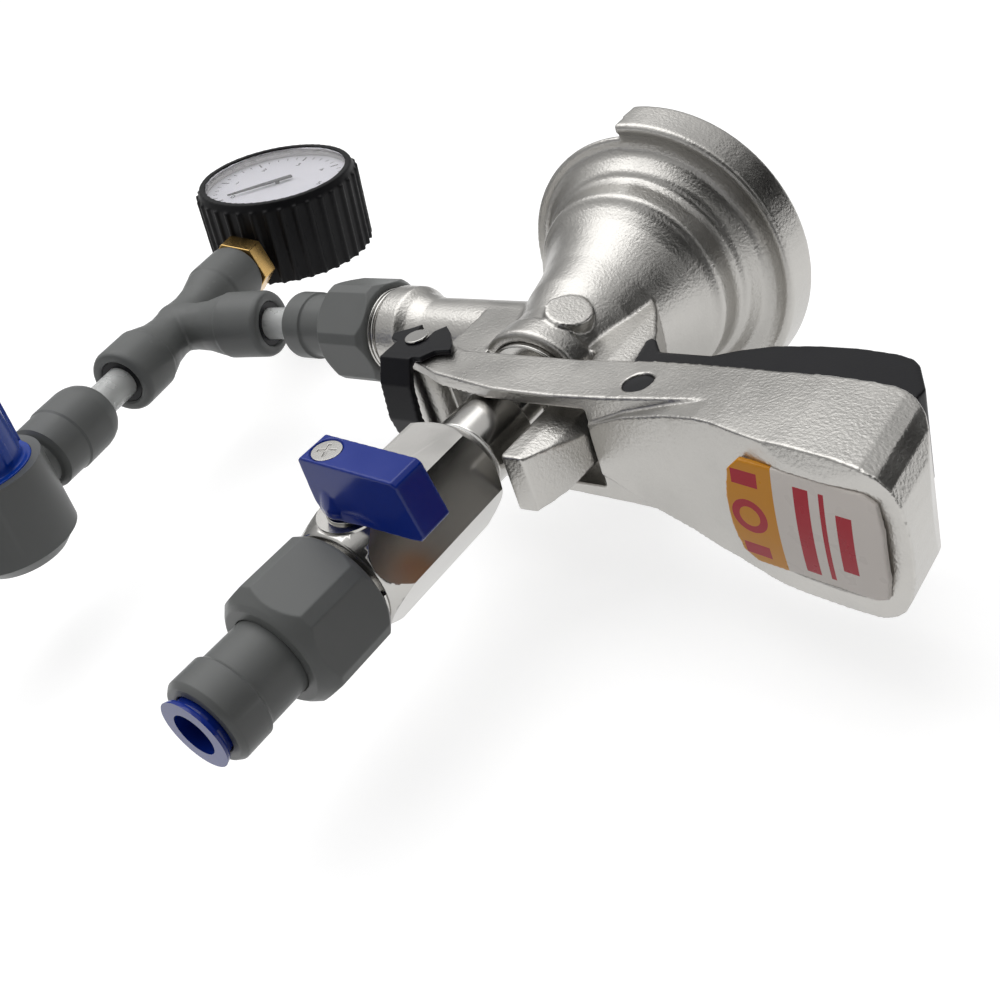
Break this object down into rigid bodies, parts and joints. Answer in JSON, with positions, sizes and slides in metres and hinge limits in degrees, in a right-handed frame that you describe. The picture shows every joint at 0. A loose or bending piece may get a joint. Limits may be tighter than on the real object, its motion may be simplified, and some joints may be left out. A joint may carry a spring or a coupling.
{
  "type": "keg filling coupler",
  "caption": "Stainless keg coupler with a half-moon bell, sprung lever handle, push-fit ball valve outlet, and a gas tee with pressure gauge and relief valve.",
  "frame": {"origin": "centre of the bell's mouth, on the probe axis and in the plane of the mouth", "axes": "the coupler lies on its side as in the picture: the bell opens to +Y, the liquid outlet points to -Y, the handle reaches to +X, the gas side to -X, and the valve lever and gauge dial face up to +Z"},
  "size_m": [0.2971, 0.2262, 0.0808],
  "materials": {
    "cast_steel": "fine blasted stainless casting",
    "polished_steel": "polished stainless",
    "grey_plastic": "matte moulded",
    "black_plastic": "satin moulded",
    "black_rubber": "matt",
    "blue_plastic": "glossy",
    "knob_blue": "glossy",
    "clear_tube": "milky translucent",
    "white_plastic": "smooth",
    "brass": "machined",
    "label": "printed plate under clear gloss",
    "dial_face": "printed white",
    "clear_lens": "clear"
  },
  "bodies": {
    "coupler": {"coupler_body": "cast_steel", "keg_seal": "black_rubber", "gas_fitting": "grey_plastic", "gas_washer": "black_rubber", "gas_o_ring": "black_rubber", "gas_collet": "black_plastic", "gas_tube": "clear_tube"},
    "lever": {"handle": "cast_steel", "handle_label": "label", "hinge_pin": "polished_steel", "hinge_clip": "black_plastic", "trigger_pin": "black_plastic", "trigger_spring": "polished_steel"},
    "catch": {"trigger": "black_plastic"},
    "tap": {"probe": "polished_steel", "probe_seal": "black_rubber", "probe_o_ring": "black_rubber", "valve_washer": "white_plastic", "valve_body": "polished_steel", "valve_insert": "polished_steel", "ball_seats": "white_plastic", "stem_packing": "white_plastic", "gland_nut": "polished_steel", "liquid_fitting": "grey_plastic", "liquid_washer": "black_rubber", "liquid_o_ring": "black_rubber"},
    "turner": {"valve_lever": "blue_plastic", "lever_screw": "polished_steel", "valve_stem": "polished_steel", "valve_ball": "polished_steel"},
    "liquid_swivel": {"liquid_nut": "grey_plastic"},
    "liquid_release": {"liquid_collet": "blue_plastic"},
    "gas_swivel": {"gas_nut": "grey_plastic"},
    "tee": {"tee_body": "grey_plastic", "tee_collets": "black_plastic", "tee_o_rings": "black_rubber", "gauge_stem": "brass", "gauge_case": "polished_steel", "gauge_boot": "black_rubber", "gauge_dial": "dial_face", "gauge_lens": "clear_lens", "gauge_tube": "brass", "relief_tube": "clear_tube"},
    "pointer": {"gauge_needle": "black_plastic"},
    "relief": {"relief_body": "grey_plastic", "inlet_collet": "black_plastic", "relief_o_rings": "black_rubber", "relief_diaphragm": "black_rubber", "relief_plate": "polished_steel", "relief_spring": "polished_steel"},
    "adjuster": {"relief_knob": "knob_blue"},
    "outlet_release": {"outlet_collet": "blue_plastic"}
  },
  "joints": [
    {"name": "handle_hinge", "type": "hinge", "parent": "coupler", "child": "lever", "pos_m": [-0.027, -0.071, 0], "axis": [0, 0, -1], "range_deg": [0, 25]},
    {"name": "probe_slide", "type": "slide", "parent": "coupler", "child": "tap", "axis": [0, -1, 0], "range_m": [0, 0.0118]},
    {"name": "trigger_hinge", "type": "hinge", "parent": "lever", "child": "catch", "pos_m": [0.0395, -0.0795, 0], "axis": [0, 0, -1], "range_deg": [0, 8], "stiffness_Nm_per_rad": 0.6, "springref_deg": -5.73},
    {"name": "valve_turn", "type": "hinge", "parent": "tap", "child": "turner", "pos_m": [0, -0.1294, 0], "axis": [0.1045, 0, 0.9945], "range_deg": [0, 90]},
    {"name": "liquid_nut_turn", "type": "hinge", "parent": "tap", "child": "liquid_swivel", "pos_m": [0, -0.147, 0], "axis": [0, -1, 0], "continuous": true},
    {"name": "liquid_collet_press", "type": "slide", "parent": "tap", "child": "liquid_release", "axis": [0, 1, 0], "range_m": [0, 0.0011], "stiffness_N_per_m": 600, "springref_m": -0.0005},
    {"name": "gas_nut_turn", "type": "hinge", "parent": "coupler", "child": "gas_swivel", "pos_m": [-0.0695, -0.0462, 0], "axis": [-1, 0, 0], "continuous": true},
    {"name": "tee_swivel", "type": "hinge", "parent": "coupler", "child": "tee", "pos_m": [-0.11646, -0.04845, 0.0006], "axis": [0.9588, 0.2743, -0.0735], "continuous": true},
    {"name": "gauge_needle_turn", "type": "hinge", "parent": "tee", "child": "pointer", "pos_m": [-0.16593, 0.0154, 0.00175], "axis": [-0.1435, -0.0557, -0.9881], "range_deg": [0, 270]},
    {"name": "relief_swivel", "type": "hinge", "parent": "tee", "child": "relief", "pos_m": [-0.13418, -0.09512, 0.00337], "axis": [0.2761, -0.961, 0.0141], "continuous": true},
    {"name": "relief_knob_turn", "type": "hinge", "parent": "relief", "child": "adjuster", "pos_m": [-0.12038, -0.14317, 0.00407], "axis": [0.0668, 0.0338, 0.9972], "range_deg": [-360, 360]},
    {"name": "outlet_collet_press", "type": "slide", "parent": "relief", "child": "outlet_release", "axis": [-0.2761, 0.961, -0.0141], "range_m": [0, 0.0011], "stiffness_N_per_m": 600, "springref_m": -0.0005}
  ],
  "couplings": [
    {"joint": "probe_slide", "follows": "handle_hinge", "m_per_rad": 0.027044}
  ]
}
